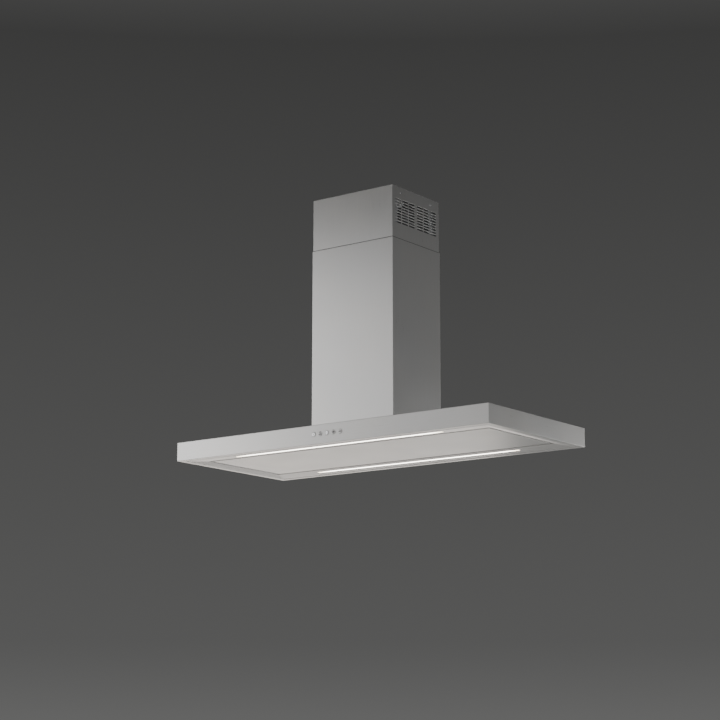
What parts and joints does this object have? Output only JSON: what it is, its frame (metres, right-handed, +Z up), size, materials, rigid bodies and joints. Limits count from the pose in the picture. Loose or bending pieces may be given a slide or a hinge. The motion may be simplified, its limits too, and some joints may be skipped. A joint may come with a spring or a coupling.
{
  "type": "island range hood",
  "caption": "Ceiling-hung island cooker hood: flat steel canopy with drop-down suction panel and light strips under a telescopic rectangular chimney.",
  "frame": {"origin": "middle of the ceiling bracket's top face, where it meets the ceiling", "axes": "+Z up, -Y towards the front face with the buttons, +X to the right of a person who faces the buttons"},
  "size_m": [1.2, 0.5466, 0.83],
  "materials": {
    "satin_steel": "satin brushed stainless steel",
    "button_steel": "fine satin stainless steel",
    "galvanised_steel": "galvanised sheet, dull",
    "zinc_plate": "bright zinc plate",
    "aluminium": "satin anodised",
    "filter_mesh": "expanded mesh layers",
    "opal_diffuser": "opal diffuser over warm white light",
    "circuit_board": "solder mask",
    "black_plastic": "moulded, fine texture",
    "grey_plastic": "moulded",
    "motor_paint": "black paint",
    "panel_board": "pressed board, matt",
    "magnet_housing": "moulded"
  },
  "bodies": {
    "ceiling_mount": {"ceiling_bracket": "galvanised_steel", "chimney_upper": "satin_steel", "upper_screws": "zinc_plate", "upper_upright_front_left": "galvanised_steel", "upper_upright_front_right": "galvanised_steel", "upper_upright_rear_left": "galvanised_steel", "upper_upright_rear_right": "galvanised_steel"},
    "chimney_cover": {"chimney_lower": "satin_steel"},
    "panel": {"suction_panel": "satin_steel", "panel_backing": "panel_board", "hinge_arms": "galvanised_steel", "panel_strikers": "zinc_plate"},
    "fan": {"impeller": "grey_plastic", "motor_shaft": "zinc_plate"},
    "damper_left": {"damper_flap_left": "black_plastic"},
    "damper_right": {"damper_flap_right": "black_plastic"},
    "button_1": {"button_1": "button_steel"},
    "button_2": {"button_2": "button_steel"},
    "button_3": {"button_3": "button_steel"},
    "button_4": {"button_4": "button_steel"},
    "button_5": {"button_5": "button_steel"},
    "latch_1": {"filter_latch_1": "black_plastic"},
    "latch_2": {"filter_latch_2": "black_plastic"},
    "latch_3": {"filter_latch_3": "black_plastic"},
    "hood": {"base_ring": "galvanised_steel", "base_screws": "zinc_plate", "blower_box": "galvanised_steel", "button_holder": "black_plastic", "cable_gland": "black_plastic", "canopy_shell": "satin_steel", "clamp_bolts": "zinc_plate", "control_board": "circuit_board", "damper_pin": "zinc_plate", "filter_meshes": "filter_mesh", "filter_rim_1": "aluminium", "filter_rim_2": "aluminium", "filter_rim_3": "aluminium", "filter_tray": "galvanised_steel", "frame_ties": "galvanised_steel", "hinge_ears": "galvanised_steel", "led_boards": "circuit_board", "led_diffuser_front": "opal_diffuser", "led_diffuser_rear": "opal_diffuser", "led_driver": "grey_plastic", "led_profile_front": "aluminium", "led_profile_rear": "aluminium", "lower_upright_front_left": "galvanised_steel", "lower_upright_front_right": "galvanised_steel", "lower_upright_rear_left": "galvanised_steel", "lower_upright_rear_right": "galvanised_steel", "motor": "motor_paint", "motor_bracket": "galvanised_steel", "outlet_collar": "black_plastic", "panel_catches": "magnet_housing", "terminal_block": "grey_plastic", "underside_frame": "satin_steel", "volute_front": "black_plastic", "volute_rear": "black_plastic", "wiring_box": "galvanised_steel", "wiring_lid": "galvanised_steel"}
  },
  "joints": [
    {"name": "height_adjust", "type": "slide", "parent": "ceiling_mount", "child": "hood", "axis": [0, 0, 1], "range_m": [-0.2, 0]},
    {"name": "chimney_lift", "type": "slide", "parent": "hood", "child": "chimney_cover", "axis": [0, 0, 1], "range_m": [0, 0.14]},
    {"name": "panel_hinge", "type": "hinge", "parent": "hood", "child": "panel", "pos_m": [0, 0.155, -0.806], "axis": [1, 0, 0], "range_deg": [0, 88]},
    {"name": "fan_spin", "type": "hinge", "parent": "hood", "child": "fan", "pos_m": [-0.062, 0, -0.676], "axis": [0, 1, 0], "continuous": true},
    {"name": "damper_left_swing", "type": "hinge", "parent": "hood", "child": "damper_left", "pos_m": [0, 0, -0.53], "axis": [0, 1, 0], "range_deg": [0, 80]},
    {"name": "damper_right_swing", "type": "hinge", "parent": "hood", "child": "damper_right", "pos_m": [0, 0, -0.53], "axis": [0, -1, 0], "range_deg": [0, 80]},
    {"name": "button_1_press", "type": "slide", "parent": "hood", "child": "button_1", "axis": [0, 1, 0], "range_m": [0, 0.0015], "stiffness_N_per_m": 600, "springref_m": -0.002},
    {"name": "button_2_press", "type": "slide", "parent": "hood", "child": "button_2", "axis": [0, 1, 0], "range_m": [0, 0.0015], "stiffness_N_per_m": 600, "springref_m": -0.002},
    {"name": "button_3_press", "type": "slide", "parent": "hood", "child": "button_3", "axis": [0, 1, 0], "range_m": [0, 0.0015], "stiffness_N_per_m": 600, "springref_m": -0.002},
    {"name": "button_4_press", "type": "slide", "parent": "hood", "child": "button_4", "axis": [0, 1, 0], "range_m": [0, 0.0015], "stiffness_N_per_m": 600, "springref_m": -0.002},
    {"name": "button_5_press", "type": "slide", "parent": "hood", "child": "button_5", "axis": [0, 1, 0], "range_m": [0, 0.0015], "stiffness_N_per_m": 600, "springref_m": -0.002},
    {"name": "latch_1_slide", "type": "slide", "parent": "hood", "child": "latch_1", "axis": [0, 1, 0], "range_m": [0, 0.006], "stiffness_N_per_m": 400, "springref_m": -0.003},
    {"name": "latch_2_slide", "type": "slide", "parent": "hood", "child": "latch_2", "axis": [0, 1, 0], "range_m": [0, 0.006], "stiffness_N_per_m": 400, "springref_m": -0.003},
    {"name": "latch_3_slide", "type": "slide", "parent": "hood", "child": "latch_3", "axis": [0, 1, 0], "range_m": [0, 0.006], "stiffness_N_per_m": 400, "springref_m": -0.003}
  ]
}
